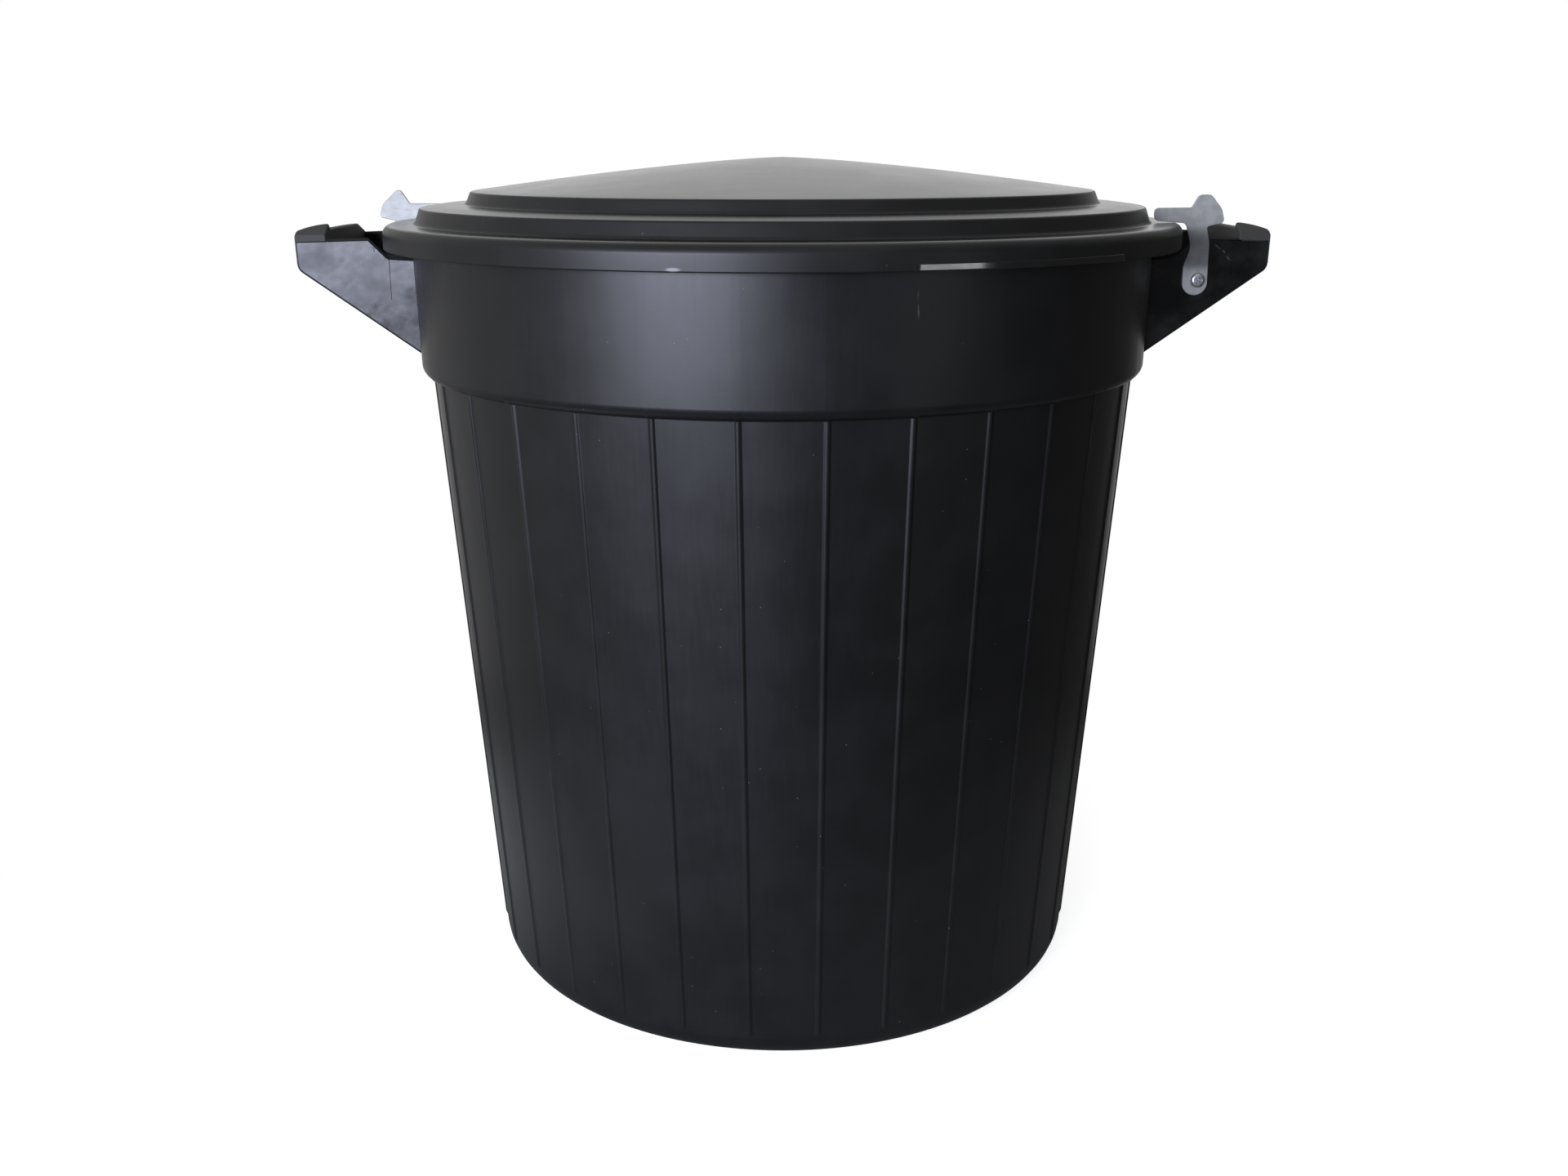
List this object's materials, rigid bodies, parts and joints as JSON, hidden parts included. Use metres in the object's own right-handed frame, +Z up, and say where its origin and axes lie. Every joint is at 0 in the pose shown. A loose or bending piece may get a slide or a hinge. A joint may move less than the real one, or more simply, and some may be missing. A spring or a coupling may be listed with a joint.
{
  "type": "feed bin",
  "caption": "Round tapered plastic feed bin with upright ribs, a plain collar, two moulded side handles, a domed lift-off lid and two turning metal lid clips.",
  "frame": {"origin": "on the floor under the middle of the bin", "axes": "+Z up, +X towards the right handle, +Y towards the back; the front, with the clip of the right handle, is towards -Y"},
  "size_m": [0.6368, 0.53, 0.559],
  "materials": {
    "bin_plastic": "black moulded polypropylene, fine matt grain, glossier handle webs",
    "lid_plastic": "black moulded polypropylene, fine matt grain",
    "clip_steel": "pressed sheet, dull zinc coating",
    "screw_steel": "bright zinc coating",
    "washer_steel": "zinc coating",
    "nut_steel": "zinc coating",
    "ring_nylon": "natural nylon"
  },
  "bodies": {
    "bin": {"bin_body": "bin_plastic", "right_pivot_screw": "screw_steel", "left_pivot_screw": "screw_steel", "right_nut_washer": "washer_steel", "left_nut_washer": "washer_steel", "right_lock_nut": "nut_steel", "left_lock_nut": "nut_steel", "right_nut_ring": "ring_nylon", "left_nut_ring": "ring_nylon"},
    "lid": {"lid": "lid_plastic"},
    "right_clip": {"right_clip": "clip_steel"},
    "left_clip": {"left_clip": "clip_steel"}
  },
  "joints": [
    {"name": "lid_lift", "type": "slide", "parent": "bin", "child": "lid", "axis": [0, 0, 1], "range_m": [0, 0.022]},
    {"name": "right_clip_turn", "type": "hinge", "parent": "bin", "child": "right_clip", "pos_m": [0.27144, -0.051, 0.4811], "axis": [0, 1, 0], "range_deg": [0, 100]},
    {"name": "left_clip_turn", "type": "hinge", "parent": "bin", "child": "left_clip", "pos_m": [-0.27144, 0.051, 0.4811], "axis": [0, -1, 0], "range_deg": [0, 100]}
  ],
  "couplings": [
    {"joint": "right_clip_turn", "follows": "lid_lift", "rad_per_m": 79.333},
    {"joint": "left_clip_turn", "follows": "lid_lift", "rad_per_m": 79.333}
  ]
}
